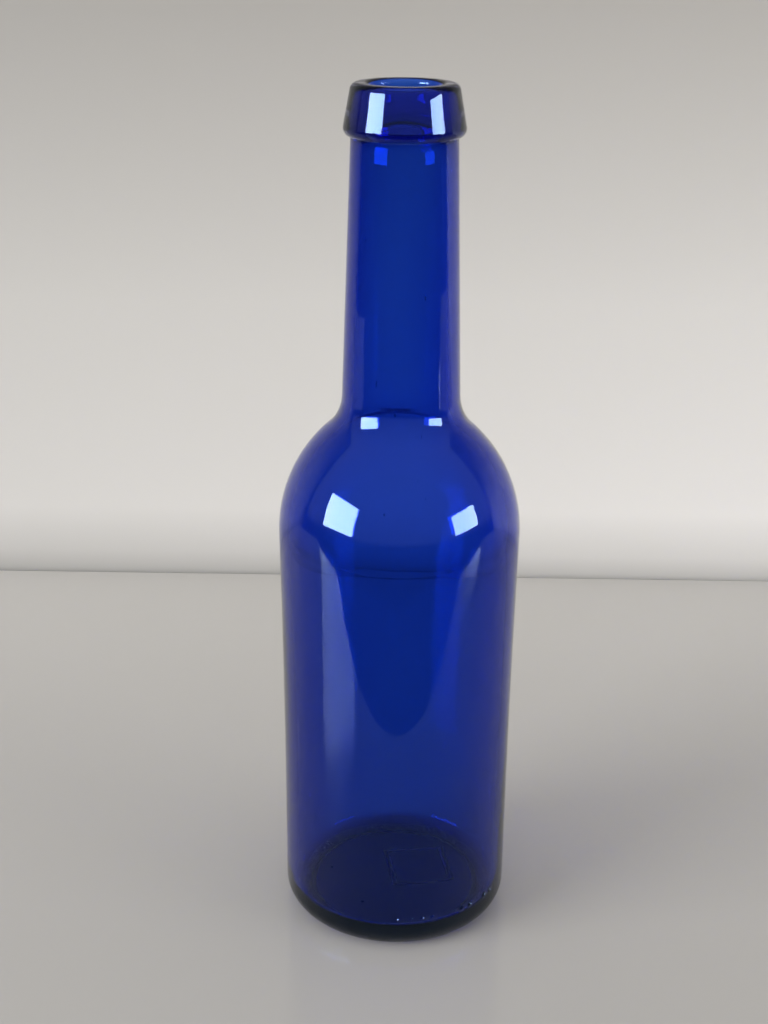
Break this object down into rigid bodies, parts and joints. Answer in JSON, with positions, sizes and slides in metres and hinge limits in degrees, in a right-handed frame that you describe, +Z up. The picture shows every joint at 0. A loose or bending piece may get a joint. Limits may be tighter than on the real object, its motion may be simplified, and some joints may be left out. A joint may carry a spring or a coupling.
{
  "type": "glass bottle",
  "caption": "Cobalt blue glass bottle with a straight body, domed shoulder, long tapering neck and a tapered collar round its cork mouth.",
  "frame": {"origin": "centre of the bearing ring that the bottle stands on", "axes": "+Z up along the bottle's axis towards the mouth; the front, where the row of mould dots starts, faces -Y"},
  "size_m": [0.065, 0.065, 0.2314],
  "materials": {
    "cobalt_glass": "fire-polished, clear and glossy, coloured through"
  },
  "bodies": {
    "root": {"bottle_body": "cobalt_glass", "bottle_neck": "cobalt_glass", "applied_collar": "cobalt_glass"}
  },
  "joints": []
}
